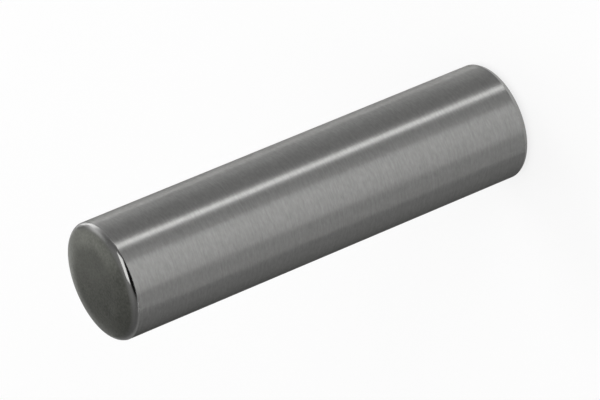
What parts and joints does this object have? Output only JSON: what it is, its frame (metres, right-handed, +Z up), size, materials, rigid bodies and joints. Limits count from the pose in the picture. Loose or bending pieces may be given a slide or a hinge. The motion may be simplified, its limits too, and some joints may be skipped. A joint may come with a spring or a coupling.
{
  "type": "piston pin",
  "caption": "Solid ground steel piston pin: a plain cylinder with flat ends that roll off softly to rounded corners, and that joins a piston to its connecting rod.",
  "frame": {"origin": "middle of the lower flat end, which the pin stands on", "axes": "+Z up along the pin's axis, from the lower end to the upper end; the pin is round, so X and Y are free"},
  "size_m": [0.012, 0.012, 0.0476],
  "materials": {
    "ground_steel": "hardened steel, centreless ground round the outside, with polished corners and matte tumbled ends"
  },
  "bodies": {
    "root": {"piston_pin": "ground_steel"}
  },
  "joints": []
}
